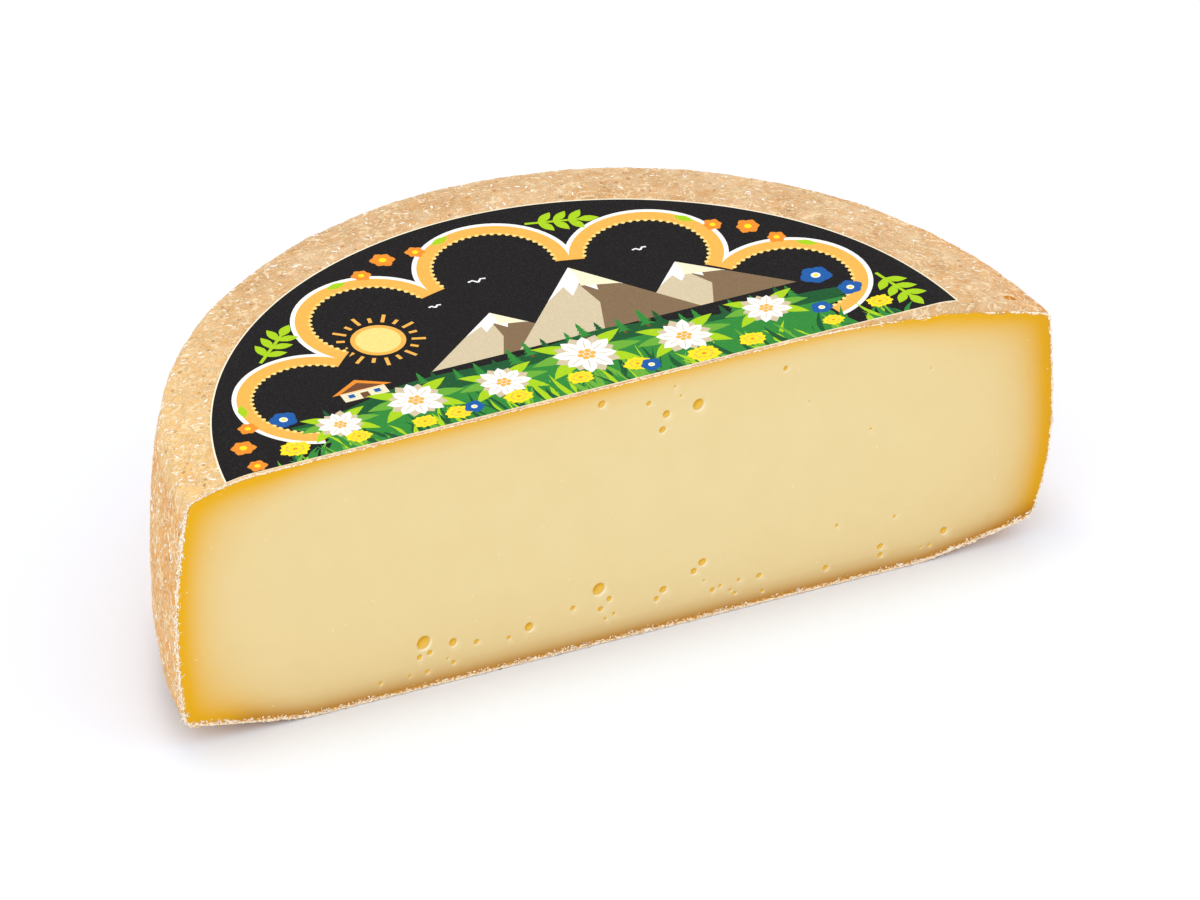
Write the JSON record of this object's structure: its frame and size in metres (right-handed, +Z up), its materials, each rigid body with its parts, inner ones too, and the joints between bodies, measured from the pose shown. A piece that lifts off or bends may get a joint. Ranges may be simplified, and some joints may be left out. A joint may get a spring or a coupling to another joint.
{
  "type": "raclette half wheel",
  "caption": "Half wheel of raclette cheese with a washed rind, a cut face with small eyes near its base, and a round paper label cut along with the wheel.",
  "frame": {"origin": "centre of the base of the bounding box, on the flat underside", "axes": "+Z up; -Y out of the cut face; X along the cut face, +X towards the slumped end"},
  "size_m": [0.3006, 0.141, 0.0952],
  "materials": {
    "cheese": "matt washed rind outside, moist cream to golden paste on the cut",
    "label_paper": "coated printed paper"
  },
  "bodies": {
    "root": {"half_wheel": "cheese", "label": "label_paper"}
  },
  "joints": []
}
